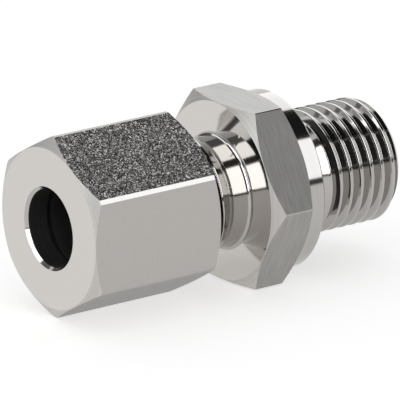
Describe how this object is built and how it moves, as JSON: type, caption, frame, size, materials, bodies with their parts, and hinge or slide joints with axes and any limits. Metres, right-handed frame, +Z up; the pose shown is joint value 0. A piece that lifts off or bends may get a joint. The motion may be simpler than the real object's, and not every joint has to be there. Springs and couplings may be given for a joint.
{
  "type": "screw-in pipe fitting",
  "caption": "Straight metal compression fitting: hexagon body with screw-in thread, collar and soft seal, and a union nut over a cutting ring that grips a tube.",
  "frame": {"origin": "centre of the port's sealing face, on the axis of the flow bore", "axes": "+X along the fitting's axis out of the screw-in stud, -X towards the tube end, +Z up with the fitting lying on its side, two flats of the body's hexagon facing up and down"},
  "size_m": [0.0401, 0.0218, 0.0194],
  "materials": {
    "steel_body": "turned and milled, bright plated",
    "steel_nut": "fine grained flats, bright plated",
    "steel_ring": "turned, hardened",
    "seal_rubber": "matt black elastomer"
  },
  "bodies": {
    "body": {"stud_body": "steel_body", "stud_seal": "seal_rubber"},
    "ring": {"cutting_ring": "steel_ring"},
    "nut": {"union_nut": "steel_nut"}
  },
  "joints": [
    {"name": "ring_slide", "type": "slide", "parent": "body", "child": "ring", "axis": [-1, 0, 0], "range_m": [0, 0.0045]},
    {"name": "nut_turn", "type": "hinge", "parent": "ring", "child": "nut", "pos_m": [-0.0203, 0, 0], "axis": [-1, 0, 0], "range_deg": [0, 1080]}
  ],
  "couplings": [
    {"joint": "ring_slide", "follows": "nut_turn", "m_per_rad": 0.00023873}
  ]
}
